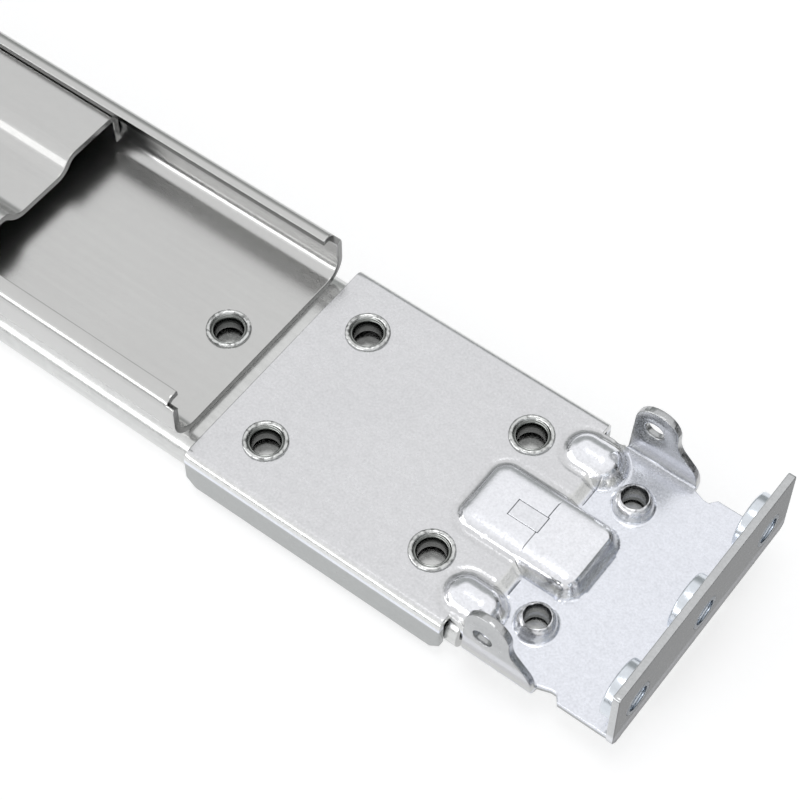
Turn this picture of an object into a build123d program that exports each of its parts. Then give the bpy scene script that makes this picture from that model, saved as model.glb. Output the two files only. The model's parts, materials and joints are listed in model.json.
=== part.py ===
"""A pair of sliding rails for a server rack: ball-bearing slides with telescoping rear ends.

Each rail lies flat with its rack side up. X runs along the rail towards the front rack
post, Y across it and Z up. The origin is at the middle of the pair, on the surface it
rests on. Both rails are the same part, side by side.
"""

from build123d import *
import math
import os

# Overall layout
rack_depth = 690.0          # front rack face to rear rack face, as stored
pair_spacing = 120.0        # between the mid-planes of the two rails
sheet = 1.2                 # steel sheet of bracket, channel, outer slide and extension
front_x = rack_depth / 2
rear_x = -rack_depth / 2


def behind_front(distance):
    """X of a place that lies this far behind the front rack face."""
    return front_x - distance


def ahead_of_rear(distance):
    """X of a place that lies this far ahead of the rear rack face."""
    return rear_x + distance


# Ball-bearing slide, cross-section
slide_half = 19.5           # half the height of the slide, at its widest
slide_depth = 7.4           # depth of the outer member
chassis_stand_off = 1.0     # the inner member stands proud of the outer one by this
lip_wrap = 75.0             # degrees that the race wall curls past its widest point
ball_r = 3.175 / 2
ball_play = 0.12
groove_depth = 0.55
cage_sheet = 0.4
cage_leg = 0.5
cage_gap = 0.2
window_play = 0.1
middle_sheet = 1.0
middle_wall = 2.2
inner_sheet = 1.2
inner_wall = 1.5
cage_leg_below = 2.1        # from the ball centres to the lower edge of the cage

race_wall_r = slide_depth / 2
race_wall_y = slide_half - race_wall_r
outer_race_z = chassis_stand_off + race_wall_r
slide_back_z = chassis_stand_off + slide_depth
outer_web_z = slide_back_z - sheet
outer_cage_top_z = outer_web_z - cage_gap
middle_back_z = outer_cage_top_z - cage_sheet - cage_gap
middle_web_z = middle_back_z - middle_sheet
middle_edge_z = chassis_stand_off + 0.3
inner_cage_top_z = middle_web_z - cage_gap
inner_wall_top_z = inner_cage_top_z - cage_sheet - cage_gap
inner_race_z = middle_web_z - cage_gap - ball_r

groove_r = ball_r + ball_play
outer_race_y = slide_half - sheet - groove_r
middle_half = outer_race_y - groove_r + groove_depth
inner_race_y = middle_half - middle_wall + groove_depth - groove_r
inner_half = inner_race_y - groove_r + groove_depth

# Ball-bearing slide, lengths
slide_front = 26.8          # outer member behind the front rack face
slide_rear = 23.0           # outer member ahead of the rear rack face
middle_front = 6.0
inner_front = 2.0
bumper_length = 16.0
bumper_inset = 2.0          # bumper's back face ahead of the outer member's end
bumper_gap = 1.0
bumper_corner = 2.0
middle_travel = 310.0       # out of the outer member
inner_travel = 340.0        # out of the middle member
cage_length = 280.0
cage_front_play = 5.2       # cage to the end of its member, slide fully open
balls_per_row = 6
cage_end_margin = 12.0
member_round = 0.5          # outer corners of the drawn members

outer_cage_front = slide_front + cage_front_play + middle_travel / 2
inner_cage_front = middle_front + cage_front_play + inner_travel / 2
slide_front_x = behind_front(slide_front)
slide_rear_x = ahead_of_rear(slide_rear)
bumper_rear_x = slide_rear_x + bumper_inset
members_rear_x = bumper_rear_x + bumper_length + bumper_gap

# Front bracket
bracket_length = 74.0
skirt_front = 28.95         # side skirts end this far behind the rack face
skirt_half = 20.8
skirt_depth = 7.5
skirt_bend_r = 1.4
skirt_corner = 1.6
joggle_rear = 26.5
joggle_run = 2.0
joggle_drop = 1.6
joggle_r = 0.6
neck_half = 18.2
front_plate_half = 19.7
flange_half = 21.2
flange_height = 15.6        # from the underside of the front plate
flange_shoulder = 2.0       # wide part of the flange starts above the front plate's underside
flange_corner = 1.2
flange_bend_r = 2.7
rack_hole_pitch = 15.875
rack_hole_count = 3
rack_hole_height = 8.13     # above the front plate's underside
plate_z = slide_back_z
plate_top_z = plate_z + sheet
front_plate_z = plate_z - joggle_drop
front_plate_top_z = front_plate_z + sheet
rack_hole_z = front_plate_z + rack_hole_height
flange_top_z = front_plate_z + flange_height

# Ears of the front bracket
ear_rear = 24.85
ear_width = 7.5
ear_foot = 12.2             # length of the bent foot
ear_height = 12.7           # above the front plate's underside
ear_neck_height = 6.6
ear_bend_r = 1.5
ear_slot_height = 7.75
ear_slot_length = 3.4
ear_slot_width = 2.0
edge_notch = 2.9
edge_notch_depth = 0.9

# Pressed forms of the front bracket
ring_margin = 7.95          # rear pair of rings ahead of the bracket's rear edge
ring_pitch_x = 29.6
ring_pitch_y = 23.8
form_draft = 25.0           # degrees from the press direction
emboss_centre = 27.3
emboss_length = 18.9        # at the level of the rear plate's top, as all forms
emboss_width = 11.8
emboss_corner = 3.0
emboss_height = 1.3
dome_centre = 27.4
dome_y = 14.3
dome_size = 6.9
dome_corner = 2.6
dome_height = 1.5
collar_setback = 18.75
collar_pitch = 23.6
collar_r = 2.65
collar_bore_r = 1.75
collar_height = 2.3
collar_draft = 5.0

# Flared collars that the outer slide member is riveted with
flare_bore_r = 2.05
flare_barrel_r = 2.55
flare_rim_r = 3.3
flare_rim_height = 0.45
flare_rim_draft = 30.0
hole_play = 0.05

# Nuts welded behind the rack holes, M5
nut_bore_r = 2.1
nut_r = 4.35
nut_height = 1.5
rack_hole_r = 2.65

# Support channel
channel_gap = 2.45          # between bracket and channel
channel_rear = 113.5        # ahead of the rear rack face
channel_half = 19.3
channel_height = 9.1
channel_lip = 2.7
channel_bend_r = 1.9
channel_lip_r = 1.4
channel_flare_front = 6.3   # front collar behind the channel's front end
channel_flare_rear = 53.75  # rear collar ahead of the channel's rear end

# Telescoping rear extension
extension_front = 42.8      # behind the channel's front end
extension_rear = 8.0
slide_play = 0.2            # between extension and channel
extension_bend_r = 1.6
recess_half = 4.8           # flat bottom of the pressed recess
recess_slope = 2.2
recess_depth = 2.3
recess_bend_r = 0.6
extension_out = 180.0       # travel towards the rear
extension_in = 35.0         # travel towards the front
slot_end_play = 2.0

# Depth adjustment screws, M4
screw_rear = 14.5           # rear screw ahead of the channel's end
screw_pitch = 22.0
screw_count = 2
screw_r = 1.95
screw_gap = 0.4             # screw's tip above the channel's floor
screw_head_r = 4.0
screw_head_height = 1.8
adjustment_nut_r = 4.0
adjustment_bore_r = 2.0
slot_half = 2.3

# Rear bracket
rear_plate_gap = 0.2        # above the outer slide member
rear_tab_height = 5.6
rear_plate_front = 70.0
rear_tab_length = 56.0
rear_bend_r = 1.9

# Inner member fittings
chassis_hole_front = 40.0
chassis_hole_pitch = 230.0
chassis_hole_count = 3
chassis_hole_r = 2.25
access_hole_r = 4.5
stop_pin_setback = 2.6      # behind the middle member's front end
stop_pin_r = 1.6
stop_pin_gap = 0.7          # above the inner member's web
lever_thickness = 1.5
lever_pivot_ahead = 32.0    # pivot ahead of the lever's nose
lever_finger = 34.0         # finger end ahead of the pivot
lever_pivot_y = 4.0
lever_arm_half = 1.1
lever_finger_half = 2.4
lever_nose_reach = 1.5      # nose past the mid-plane
lever_nose_length = 5.5
lever_gap = 0.15
lever_catch_gap = 0.5
pivot_r = 1.5
pivot_head_r = 2.5
pivot_head_height = 0.7
pivot_boss = 0.6            # lever's eye past the pivot's head


def folded_section(points, bend_r, side):
    """Closed section of a folded sheet whose first face follows the points."""
    with BuildSketch() as section:
        with BuildLine():
            FilletPolyline(*points, radius=bend_r)
            offset(amount=sheet, side=side)
        make_face()
    return section.sketch


# Outer slide member: a flat web with race walls curled round the outer balls
ring_rear_x = behind_front(bracket_length - ring_margin)
ring_places = [
    (ring_x, side * ring_pitch_y / 2)
    for ring_x in (ring_rear_x, ring_rear_x + ring_pitch_x)
    for side in (-1, 1)
]
channel_front_x = behind_front(bracket_length + channel_gap)
channel_rear_x = ahead_of_rear(channel_rear)
channel_flare_places = [
    (channel_front_x - channel_flare_front, 0),
    (channel_rear_x + channel_flare_rear, 0),
]
flare_places = ring_places + channel_flare_places
flare_top_z = slide_back_z + sheet

with BuildPart() as outer_member:
    with BuildSketch(Plane.YZ.offset(slide_rear_x)):
        with BuildLine():
            CenterArc((race_wall_y, outer_race_z), race_wall_r, -lip_wrap, 90 + lip_wrap)
            Line((race_wall_y, slide_back_z), (-race_wall_y, slide_back_z))
            CenterArc((-race_wall_y, outer_race_z), race_wall_r, 90, 90 + lip_wrap)
            offset(amount=sheet, side=Side.LEFT)
        make_face()
    extrude(amount=slide_front_x - slide_rear_x)
    # Collars drawn from the web through bracket and channel, and flared over them
    with BuildSketch(Plane.XY.offset(slide_back_z)):
        with Locations(*flare_places):
            Circle(flare_barrel_r)
    extrude(amount=sheet)
    with BuildSketch(Plane.XY.offset(flare_top_z)):
        with Locations(*flare_places):
            Circle(flare_rim_r)
    extrude(amount=flare_rim_height, taper=flare_rim_draft)
    with BuildSketch(Plane.XY.offset(outer_web_z)):
        with Locations(*flare_places):
            Circle(flare_bore_r)
    extrude(amount=2 * sheet + flare_rim_height, mode=Mode.SUBTRACT)

# Rear bumper: a moulded block pressed in between the walls of the outer member
with BuildPart() as rear_bumper:
    with BuildSketch(Plane.XY.offset(middle_edge_z)):
        with Locations((bumper_rear_x + bumper_length / 2, 0)):
            RectangleRounded(bumper_length, 2 * middle_half, bumper_corner)
    extrude(amount=outer_web_z - middle_edge_z)

# Middle slide member: a web between two walls with a race groove in each face
middle_length = behind_front(middle_front) - members_rear_x
stop_pin_place = (behind_front(middle_front + stop_pin_setback), 0)
chassis_hole_places = [
    (behind_front(chassis_hole_front + chassis_hole_pitch * i), 0)
    for i in range(chassis_hole_count)
]

with BuildPart() as middle_member:
    with BuildSketch(Plane.YZ.offset(members_rear_x)) as middle_section:
        with Locations((0, (middle_web_z + middle_back_z) / 2)):
            Rectangle(2 * middle_half, middle_sheet)
        wall_y = middle_half - middle_wall / 2
        with Locations((wall_y, (middle_edge_z + middle_back_z) / 2),
                       (-wall_y, (middle_edge_z + middle_back_z) / 2)):
            Rectangle(middle_wall, middle_back_z - middle_edge_z)
        fillet(middle_section.vertices().group_by(Axis.Y)[-1], radius=member_round)
        with Locations((outer_race_y, outer_race_z), (-outer_race_y, outer_race_z),
                       (inner_race_y, inner_race_z), (-inner_race_y, inner_race_z)):
            Circle(groove_r, mode=Mode.SUBTRACT)
    extrude(amount=middle_length)
    with BuildSketch(Plane.XY.offset(middle_web_z)):
        with Locations(*chassis_hole_places):
            Circle(access_hole_r)
        with Locations(stop_pin_place):
            Circle(stop_pin_r + hole_play)
    extrude(amount=middle_sheet, mode=Mode.SUBTRACT)

# Stop pin: riveted into the middle member, it catches the nose of the release lever
with BuildPart() as stop_pin:
    with BuildSketch(Plane.XY.offset(inner_sheet + stop_pin_gap)):
        with Locations(stop_pin_place):
            Circle(stop_pin_r)
    extrude(amount=middle_back_z - inner_sheet - stop_pin_gap)

# Inner slide member: the channel that is screwed to the server's side
inner_length = behind_front(inner_front) - members_rear_x
nose_x = stop_pin_place[0] - inner_travel - stop_pin_r - lever_catch_gap
pivot_place = (nose_x + lever_pivot_ahead, lever_pivot_y)

with BuildPart() as inner_member:
    with BuildSketch(Plane.YZ.offset(members_rear_x)) as inner_section:
        with Locations((0, inner_sheet / 2)):
            Rectangle(2 * inner_half, inner_sheet)
        wall_y = inner_half - inner_wall / 2
        with Locations((wall_y, inner_wall_top_z / 2), (-wall_y, inner_wall_top_z / 2)):
            Rectangle(inner_wall, inner_wall_top_z)
        fillet(inner_section.vertices().group_by(Axis.Y)[0], radius=member_round)
        with Locations((inner_race_y, inner_race_z), (-inner_race_y, inner_race_z)):
            Circle(groove_r, mode=Mode.SUBTRACT)
    extrude(amount=inner_length)
    with BuildSketch(Plane.XY):
        with Locations(*chassis_hole_places):
            Circle(chassis_hole_r)
        with Locations(pivot_place):
            Circle(pivot_r + hole_play)
    extrude(amount=inner_sheet, mode=Mode.SUBTRACT)

# Lever pivot: a shouldered rivet in the inner member's web
lever_z = inner_sheet + lever_gap
with BuildPart() as lever_pivot:
    with BuildSketch(Plane.XY):
        with Locations(pivot_place):
            Circle(pivot_r)
    extrude(amount=lever_z + lever_thickness + lever_gap)
    with BuildSketch(Plane.XY.offset(lever_z + lever_thickness + lever_gap)):
        with Locations(pivot_place):
            Circle(pivot_head_r)
    extrude(amount=pivot_head_height)

# Release lever: its nose stops at the pin until a finger swings it aside
with BuildPart() as release_lever:
    with BuildSketch(Plane.XY.offset(lever_z)) as lever_outline:
        arm_tail_x = nose_x - lever_nose_length
        arm_length = pivot_place[0] - arm_tail_x
        with Locations(((pivot_place[0] + arm_tail_x) / 2, lever_pivot_y)):
            Rectangle(arm_length, 2 * lever_arm_half)
        with Locations(((nose_x + arm_tail_x) / 2, (lever_pivot_y - lever_nose_reach) / 2)):
            Rectangle(lever_nose_length, lever_pivot_y + lever_nose_reach)
        with Locations((pivot_place[0] + lever_finger / 2, lever_pivot_y)):
            Rectangle(lever_finger, 2 * lever_finger_half)
        with Locations(pivot_place):
            Circle(pivot_head_r + pivot_boss)
            Circle(pivot_r + hole_play, mode=Mode.SUBTRACT)
    extrude(amount=lever_thickness)


# Ball: octagonal in every section, with its corners on the true sphere
ball_flat_r = ball_r / math.hypot(1 / math.cos(math.pi / 8), math.sqrt(2) - 1)
with BuildPart() as one_ball:
    with BuildSketch(Plane.XY.offset(-ball_flat_r)):
        RegularPolygon(ball_flat_r, 8, major_radius=False)
    extrude(amount=2 * ball_flat_r)
    end_edges = one_ball.edges().group_by(Axis.Z)[0] + one_ball.edges().group_by(Axis.Z)[-1]
    chamfer(end_edges, length=(2 - math.sqrt(2)) * ball_flat_r)
ball = one_ball.part


def cage_and_balls(top_z, race_y, race_z, cage_front):
    """A folded strip with a window for each ball, and the balls in it."""
    leg_y = race_y + hole_play
    rear = behind_front(cage_front + cage_length)
    run = cage_length - 2 * cage_end_margin
    rows = [
        rear + cage_end_margin + run * i / (balls_per_row - 1)
        for i in range(balls_per_row)
    ]
    with BuildPart() as cage:
        with BuildSketch(Plane.YZ.offset(rear)) as section:
            with Locations((0, top_z - cage_sheet / 2)):
                Rectangle(2 * leg_y, cage_sheet)
            leg_height = top_z - race_z + cage_leg_below
            with Locations((leg_y - cage_leg / 2, top_z - leg_height / 2),
                           (-leg_y + cage_leg / 2, top_z - leg_height / 2)):
                Rectangle(cage_leg, leg_height)
        extrude(amount=cage_length)
        with BuildSketch(Plane.XZ):
            with Locations(*[(x, race_z) for x in rows]):
                Rectangle(2 * (ball_r + window_play), 2 * (ball_r + window_play))
        extrude(amount=leg_y, both=True, mode=Mode.SUBTRACT)
    with BuildPart() as balls:
        with Locations(*[(x, side * race_y, race_z) for x in rows for side in (-1, 1)]):
            add(ball)
    return cage, balls


outer_ball_cage, outer_balls = cage_and_balls(
    outer_cage_top_z, outer_race_y, outer_race_z, outer_cage_front
)
inner_ball_cage, inner_balls = cage_and_balls(
    inner_cage_top_z, inner_race_y, inner_race_z, inner_cage_front
)

# Front bracket: one pressed and folded sheet that carries the slide on the front post
rack_hole_rows = [
    (i - (rack_hole_count - 1) / 2) * rack_hole_pitch for i in range(rack_hole_count)
]
rack_hole_points = [(y, rack_hole_z) for y in rack_hole_rows]
plate_rear_x = behind_front(bracket_length)
skirt_front_x = behind_front(skirt_front)
joggle_rear_x = behind_front(joggle_rear)
joggle_front_x = joggle_rear_x + joggle_run
ear_rear_x = behind_front(ear_rear)
ear_foot_x = ear_rear_x + ear_foot
notch_front_x = ear_foot_x + edge_notch
flange_foot_x = front_x - flange_bend_r
joggle_path = [
    (plate_rear_x, plate_z),
    (joggle_rear_x, plate_z),
    (joggle_front_x, front_plate_z),
]
joggle_bends = [joggle_r, joggle_r + sheet]


form_foot = front_plate_z - plate_top_z
form_slope = math.tan(math.radians(form_draft))


def pressed_form(place, size, corner, top):
    """A form with leaning walls and conical corners, up to a level.

    Levels, size and corner are counted from the rear plate's top.
    """
    half = (size[0] / 2 - corner, size[1] / 2 - corner)
    with BuildPart() as block:
        for reach in ((corner, 0), (0, corner)):
            for level in (form_foot, top):
                lean = -form_slope * level / corner
                with BuildSketch(Plane.XY.offset(plate_top_z + level)):
                    with Locations(place):
                        Rectangle(
                            2 * (half[0] + reach[0] * (1 + lean)),
                            2 * (half[1] + reach[1] * (1 + lean)),
                        )
            loft(ruled=True)
        corners = [
            (place[0] + sx * half[0], place[1] + sy * half[1], plate_top_z + form_foot)
            for sx in (-1, 1)
            for sy in (-1, 1)
        ]
        with Locations(*corners):
            Cone(corner - form_slope * form_foot, corner - form_slope * top, top - form_foot,
                 align=(Align.CENTER, Align.CENTER, Align.MIN))
    return block.part


draft_angle = math.radians(form_draft)
wall_inset = sheet * (1 - math.sin(draft_angle)) / math.cos(draft_angle)
raised_forms = []
hollow_forms = []
for form_x, form_y, length, width, corner, height in (
    (emboss_centre, 0, emboss_length, emboss_width, emboss_corner, emboss_height),
    (dome_centre, dome_y, dome_size, dome_size, dome_corner, dome_height),
    (dome_centre, -dome_y, dome_size, dome_size, dome_corner, dome_height),
):
    place = (behind_front(form_x), form_y)
    raised_forms.append(pressed_form(place, (length, width), corner, height))
    hollow_forms.append(
        pressed_form(place, (length - 2 * wall_inset, width - 2 * wall_inset),
                     corner - wall_inset, height - sheet)
    )

# Ear: folded up from the edge of the front plate, with a slot near its rounded top
ear_top_z = front_plate_z + ear_height
ear_arc_z = ear_top_z - ear_width / 2
ear_section = folded_section(
    [
        (front_plate_half - 2 * ear_bend_r, front_plate_z),
        (front_plate_half, front_plate_z),
        (front_plate_half, ear_top_z),
    ],
    ear_bend_r,
    Side.LEFT,
)
with BuildPart() as ear:
    with BuildSketch(Plane.YZ.offset(ear_rear_x)):
        add(ear_section)
    extrude(amount=ear_foot)
    with BuildSketch(Plane.XZ):
        with BuildLine():
            CenterArc((ear_rear_x + ear_width / 2, ear_arc_z), ear_width / 2, 0, 180)
            Polyline(
                (ear_rear_x, ear_arc_z),
                (ear_rear_x, front_plate_z),
                (ear_foot_x, front_plate_z),
                (ear_foot_x, front_plate_top_z),
                (ear_rear_x + ear_width, front_plate_z + ear_neck_height),
                (ear_rear_x + ear_width, ear_arc_z),
            )
        make_face()
        with Locations((ear_rear_x + ear_width / 2, front_plate_z + ear_slot_height)):
            SlotOverall(ear_slot_length, ear_slot_width, mode=Mode.SUBTRACT)
    extrude(amount=-front_plate_half, mode=Mode.INTERSECT)

skirt_section = folded_section(
    [
        (-skirt_half, plate_top_z - skirt_depth),
        (-skirt_half, plate_top_z),
        (skirt_half, plate_top_z),
        (skirt_half, plate_top_z - skirt_depth),
    ],
    skirt_bend_r,
    Side.RIGHT,
)
collar_places = [
    (behind_front(collar_setback), side * collar_pitch / 2) for side in (-1, 1)
]

with BuildPart() as front_bracket:
    # Rear plate, joggle, front plate and rack flange are one folded strip
    with BuildSketch(Plane.XZ):
        with BuildLine():
            FilletPolyline(
                *joggle_path,
                (front_x, front_plate_z),
                (front_x, flange_top_z),
                radius=[*joggle_bends, flange_bend_r],
            )
            offset(amount=sheet, side=Side.LEFT)
        make_face()
    extrude(amount=flange_half, both=True)
    # Stiffening emboss and two domes across the joggle, raised and hollow underneath
    add(raised_forms)
    add(hollow_forms, mode=Mode.SUBTRACT)
    with BuildSketch(Plane.XZ):
        with BuildLine():
            FilletPolyline(*joggle_path, (flange_foot_x, front_plate_z), radius=joggle_bends)
            Polyline((flange_foot_x, front_plate_z), (flange_foot_x, 0), (plate_rear_x, 0),
                     (plate_rear_x, plate_z))
        make_face()
    extrude(amount=flange_half, both=True, mode=Mode.SUBTRACT)
    # Outline seen from above
    with BuildSketch(Plane.XY):
        with BuildLine():
            Polyline(
                (plate_rear_x, 0),
                (plate_rear_x, skirt_half - skirt_bend_r),
                (skirt_front_x, skirt_half - skirt_bend_r),
                (skirt_front_x, neck_half),
                (ear_foot_x, neck_half),
                (ear_foot_x + edge_notch_depth, front_plate_half - edge_notch_depth),
                (notch_front_x, front_plate_half - edge_notch_depth),
                (notch_front_x, front_plate_half),
                (flange_foot_x, front_plate_half),
                (flange_foot_x, flange_half),
                (front_x, flange_half),
                (front_x, 0),
            )
            mirror(about=Plane.XZ)
        make_face()
    extrude(amount=flange_top_z, mode=Mode.INTERSECT)
    # The flange is wider than the plate only above its bend
    with BuildSketch(Plane.YZ.offset(front_x)):
        with BuildLine():
            shoulder_z = front_plate_z + flange_shoulder
            Polyline(
                (front_plate_half, front_plate_z),
                (front_plate_half, shoulder_z),
                (flange_half - flange_corner, shoulder_z),
                (flange_half, shoulder_z + flange_corner),
                (flange_half, front_plate_z),
                close=True,
            )
        make_face()
        mirror(about=Plane.YZ)
    extrude(amount=-flange_bend_r, mode=Mode.SUBTRACT)
    # Side skirts folded down round the slide, and the two ears
    with BuildSketch(Plane.YZ.offset(plate_rear_x)):
        add(skirt_section)
    extrude(amount=skirt_front_x - plate_rear_x)
    chamfer(front_bracket.edges().filter_by(Axis.Y).group_by(Axis.Z)[0], length=skirt_corner)
    add(ear.part)
    add(mirror(ear.part, about=Plane.XZ, mode=Mode.PRIVATE))
    # Drawn collars for screws, and the holes for the flared collars and rack screws
    with BuildSketch(Plane.XY.offset(front_plate_top_z)):
        with Locations(*collar_places):
            Circle(collar_r)
    extrude(amount=collar_height, taper=collar_draft)
    with BuildSketch(Plane.XY.offset(front_plate_z)):
        with Locations(*collar_places):
            Circle(collar_bore_r)
        with Locations(*ring_places):
            Circle(flare_barrel_r + hole_play)
    extrude(amount=2 * sheet + collar_height, mode=Mode.SUBTRACT)
    with BuildSketch(Plane.YZ.offset(front_x)):
        with Locations(*rack_hole_points):
            Circle(rack_hole_r)
    extrude(amount=-sheet, mode=Mode.SUBTRACT)


def rack_nuts(face_x, inward):
    """Nuts welded behind a flange's rack holes; inward is +1 or -1 along X."""
    with BuildPart() as nuts:
        with BuildSketch(Plane.YZ.offset(face_x + inward * sheet)):
            with Locations(*rack_hole_points):
                Circle(nut_r)
                Circle(nut_bore_r, mode=Mode.SUBTRACT)
        extrude(amount=inward * nut_height)
    return nuts


front_nuts = rack_nuts(front_x, -1)
rear_nuts = rack_nuts(rear_x, 1)

# Support channel: roll-formed, its lips hold the telescoping rear extension
channel_top_z = plate_z + channel_height
channel_inner_half = channel_half - sheet
screw_places = [
    (channel_rear_x + screw_rear + screw_pitch * i, 0) for i in range(screw_count)
]
channel_section = folded_section(
    [
        (channel_lip - channel_half, channel_top_z),
        (-channel_half, channel_top_z),
        (-channel_half, plate_z),
        (channel_half, plate_z),
        (channel_half, channel_top_z),
        (channel_half - channel_lip, channel_top_z),
    ],
    [channel_lip_r, channel_bend_r, channel_bend_r, channel_lip_r],
    Side.LEFT,
)
with BuildPart() as support_channel:
    with BuildSketch(Plane.YZ.offset(channel_rear_x)):
        add(channel_section)
    extrude(amount=channel_front_x - channel_rear_x)
    with BuildSketch(Plane.XY.offset(plate_z)):
        with Locations(*channel_flare_places):
            Circle(flare_barrel_r + hole_play)
    extrude(amount=sheet, mode=Mode.SUBTRACT)

# Rear extension: a hat section that slides in the channel, with a long slot for the screws
extension_front_x = channel_front_x - extension_front
extension_rear_x = ahead_of_rear(extension_rear)
extension_half = channel_inner_half - slide_play
extension_top_z = channel_top_z - sheet - slide_play
extension_foot_z = plate_top_z + 2 * slide_play
recess_z = extension_top_z - recess_depth
extension_section = folded_section(
    [
        (-extension_half, extension_foot_z),
        (-extension_half, extension_top_z),
        (-recess_half - recess_slope, extension_top_z),
        (-recess_half, recess_z),
        (recess_half, recess_z),
        (recess_half + recess_slope, extension_top_z),
        (extension_half, extension_top_z),
        (extension_half, extension_foot_z),
    ],
    [extension_bend_r, extension_bend_r, recess_bend_r, recess_bend_r, extension_bend_r,
     extension_bend_r],
    Side.RIGHT,
)
slot_rear_x = screw_places[0][0] - screw_r - slot_end_play - extension_in
slot_front_x = screw_places[-1][0] + screw_r + slot_end_play + extension_out
rear_plate_z = slide_back_z + rear_plate_gap
with BuildPart() as rear_extension:
    with BuildSketch(Plane.YZ.offset(extension_rear_x)):
        add(extension_section)
    extrude(amount=extension_front_x - extension_rear_x)
    with BuildSketch(Plane.XY.offset(recess_z - sheet)):
        with Locations(((slot_rear_x + slot_front_x) / 2, 0)):
            SlotOverall(slot_front_x - slot_rear_x, 2 * slot_half)
    extrude(amount=sheet, mode=Mode.SUBTRACT)

# Depth adjustment: nuts welded into the channel, with flat-headed screws above the slot
with BuildPart() as adjustment_nuts:
    with BuildSketch(Plane.XY.offset(plate_top_z)):
        with Locations(*screw_places):
            RegularPolygon(adjustment_nut_r, 6)
            Circle(adjustment_bore_r, mode=Mode.SUBTRACT)
    extrude(amount=recess_z - sheet - slide_play - plate_top_z)

with BuildPart() as adjustment_screws:
    with BuildSketch(Plane.XY.offset(plate_top_z + screw_gap)):
        with Locations(*screw_places):
            Circle(screw_r)
    extrude(amount=recess_z + slide_play - plate_top_z - screw_gap)
    with BuildSketch(Plane.XY.offset(recess_z + slide_play)):
        with Locations(*screw_places):
            Circle(screw_head_r)
    extrude(amount=screw_head_height)

# Rear bracket: a folded plate between the extension's sides, with the rear rack flange
rear_plate_front_x = ahead_of_rear(rear_plate_front)
rear_tab_rear_x = rear_plate_front_x - rear_tab_length
rear_tab_half = extension_half - sheet - hole_play
tab_section = folded_section(
    [
        (-rear_tab_half, rear_plate_z + rear_tab_height),
        (-rear_tab_half, rear_plate_z),
        (rear_tab_half, rear_plate_z),
        (rear_tab_half, rear_plate_z + rear_tab_height),
    ],
    skirt_bend_r,
    Side.LEFT,
)
with BuildPart() as rear_bracket:
    with BuildSketch(Plane.XZ):
        with BuildLine():
            FilletPolyline(
                (rear_plate_front_x, rear_plate_z),
                (rear_x, rear_plate_z),
                (rear_x, flange_top_z),
                radius=rear_bend_r,
            )
            offset(amount=sheet, side=Side.RIGHT)
        make_face()
    extrude(amount=flange_half, both=True)
    with BuildSketch(Plane.XY):
        with BuildLine():
            Polyline(
                (rear_plate_front_x, 0),
                (rear_plate_front_x, rear_tab_half - skirt_bend_r),
                (rear_tab_rear_x, rear_tab_half - skirt_bend_r),
                (rear_tab_rear_x, front_plate_half),
                (rear_x + rear_bend_r, front_plate_half),
                (rear_x + rear_bend_r, flange_half),
                (rear_x, flange_half),
                (rear_x, 0),
            )
            mirror(about=Plane.XZ)
        make_face()
    extrude(amount=flange_top_z, mode=Mode.INTERSECT)
    with BuildSketch(Plane.YZ.offset(rear_tab_rear_x)):
        add(tab_section)
    extrude(amount=rear_tab_length)
    with BuildSketch(Plane.YZ.offset(rear_x)):
        with Locations(*rack_hole_points):
            Circle(rack_hole_r)
    extrude(amount=sheet, mode=Mode.SUBTRACT)

# Every piece once for each rail
pieces = {
    "outer_member": outer_member,
    "rear_bumper": rear_bumper,
    "front_bracket": front_bracket,
    "front_nuts": front_nuts,
    "support_channel": support_channel,
    "adjustment_nuts": adjustment_nuts,
    "adjustment_screws": adjustment_screws,
    "middle_member": middle_member,
    "stop_pin": stop_pin,
    "inner_member": inner_member,
    "lever_pivot": lever_pivot,
    "release_lever": release_lever,
    "outer_ball_cage": outer_ball_cage,
    "outer_balls": outer_balls,
    "inner_ball_cage": inner_ball_cage,
    "inner_balls": inner_balls,
    "rear_extension": rear_extension,
    "rear_bracket": rear_bracket,
    "rear_nuts": rear_nuts,
}
os.makedirs("parts", exist_ok=True)
for rail, rail_y in (("left", pair_spacing / 2), ("right", -pair_spacing / 2)):
    for name, piece in pieces.items():
        placed = piece.part.moved(Location((0, rail_y, 0)))
        placed.label = f"{rail}_{name}"
        export_step(placed, f"parts/{rail}_{name}.step")
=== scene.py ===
"""Looks of a pair of ball-bearing server rails with pressed front brackets.

Both rails lie side by side with their rack sides up, and the camera looks at the front end of
the left one. Every length is in metres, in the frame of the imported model.
"""

import json
import math

import bmesh
import bpy
from mathutils import Matrix, Vector, noise


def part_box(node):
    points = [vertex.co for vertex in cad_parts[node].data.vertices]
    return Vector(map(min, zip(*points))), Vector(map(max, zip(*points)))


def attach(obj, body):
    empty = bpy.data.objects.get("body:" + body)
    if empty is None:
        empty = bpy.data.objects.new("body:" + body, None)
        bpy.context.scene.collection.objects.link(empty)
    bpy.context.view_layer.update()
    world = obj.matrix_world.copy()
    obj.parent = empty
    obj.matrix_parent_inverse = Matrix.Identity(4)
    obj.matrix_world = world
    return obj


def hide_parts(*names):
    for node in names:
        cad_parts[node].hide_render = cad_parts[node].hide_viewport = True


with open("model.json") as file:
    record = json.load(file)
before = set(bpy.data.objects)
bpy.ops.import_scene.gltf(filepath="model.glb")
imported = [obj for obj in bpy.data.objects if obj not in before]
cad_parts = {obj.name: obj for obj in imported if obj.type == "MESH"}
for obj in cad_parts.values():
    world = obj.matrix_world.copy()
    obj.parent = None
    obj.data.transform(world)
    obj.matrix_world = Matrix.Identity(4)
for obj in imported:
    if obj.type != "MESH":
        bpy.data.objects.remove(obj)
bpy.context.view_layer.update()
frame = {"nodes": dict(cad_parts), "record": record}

# Camera
# It stands above and beside the rack end of the left rail and looks down along it, with a
# long lens, so that the rail runs from the upper left to the lower right.
mm = 0.001
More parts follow.
